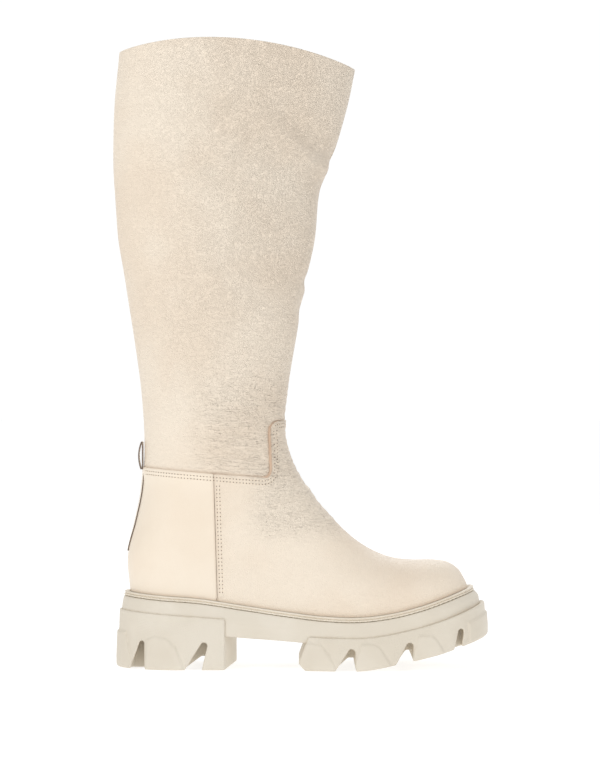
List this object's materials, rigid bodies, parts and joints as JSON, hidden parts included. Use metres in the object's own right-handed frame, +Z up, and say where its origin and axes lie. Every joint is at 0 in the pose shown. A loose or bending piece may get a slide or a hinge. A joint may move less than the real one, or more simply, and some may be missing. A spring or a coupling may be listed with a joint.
{
  "type": "knee-high lug-sole boot",
  "caption": "Knee-high leather boot for the right foot on a thick lugged rubber sole, with an inner-side zip and a pull loop at the heel.",
  "frame": {"origin": "on the ground, under the middle of the boot's box", "axes": "+X to the toe, +Y to the inner side of the foot, +Z up the leg"},
  "size_m": [0.2984, 0.115, 0.4985],
  "materials": {
    "grained_leather": "pebbled cream leather, semi-matte",
    "smooth_leather": "smooth cream leather, satin",
    "edge_leather": "painted dark edge on cream strap",
    "lining_leather": "soft unfinished lining leather",
    "fibreboard": "stiff fibreboard",
    "shank_steel": "plain spring steel",
    "cork": "granulated cork",
    "welt_rubber": "moulded cream rubber, ribbed",
    "sole_rubber": "matte moulded light beige rubber",
    "zip_tape": "herringbone woven tape",
    "zip_metal": "pale brushed brass"
  },
  "bodies": {
    "boot": {"shaft_outer": "grained_leather", "shaft_inner_front": "grained_leather", "shaft_inner_rear": "grained_leather", "vamp": "grained_leather", "counter_outer": "smooth_leather", "counter_inner": "smooth_leather", "back_strap": "edge_leather", "pull_loop": "edge_leather", "top_facing": "lining_leather", "shaft_lining": "lining_leather", "heel_lining": "lining_leather", "vamp_lining": "lining_leather", "heel_counter": "fibreboard", "toe_puff": "fibreboard", "sock_liner": "lining_leather", "insole_board": "fibreboard", "shank": "shank_steel", "cork_filler": "cork", "welt": "welt_rubber", "midsole": "sole_rubber", "heel_tread": "sole_rubber", "forepart_tread": "sole_rubber", "zip_tape_front": "zip_tape", "zip_tape_rear": "zip_tape", "zip_teeth_front": "zip_metal", "zip_teeth_rear": "zip_metal", "zip_top_stop_front": "zip_metal", "zip_top_stop_rear": "zip_metal", "zip_bottom_stop": "zip_metal", "zip_guard": "lining_leather"},
    "slider": {"zip_slider": "zip_metal"},
    "puller": {"zip_puller": "zip_metal"}
  },
  "joints": [
    {"name": "zip_slide", "type": "slide", "parent": "boot", "child": "slider", "axis": [0, 0.0259, 0.9997], "range_m": [-0.4, 0], "deforming": ["zip_teeth_front", "zip_teeth_rear"]},
    {"name": "puller_swing", "type": "hinge", "parent": "slider", "child": "puller", "pos_m": [-0.06627, 0.04258, 0.48137], "axis": [1, 0, 0], "range_deg": [0, 165]}
  ]
}
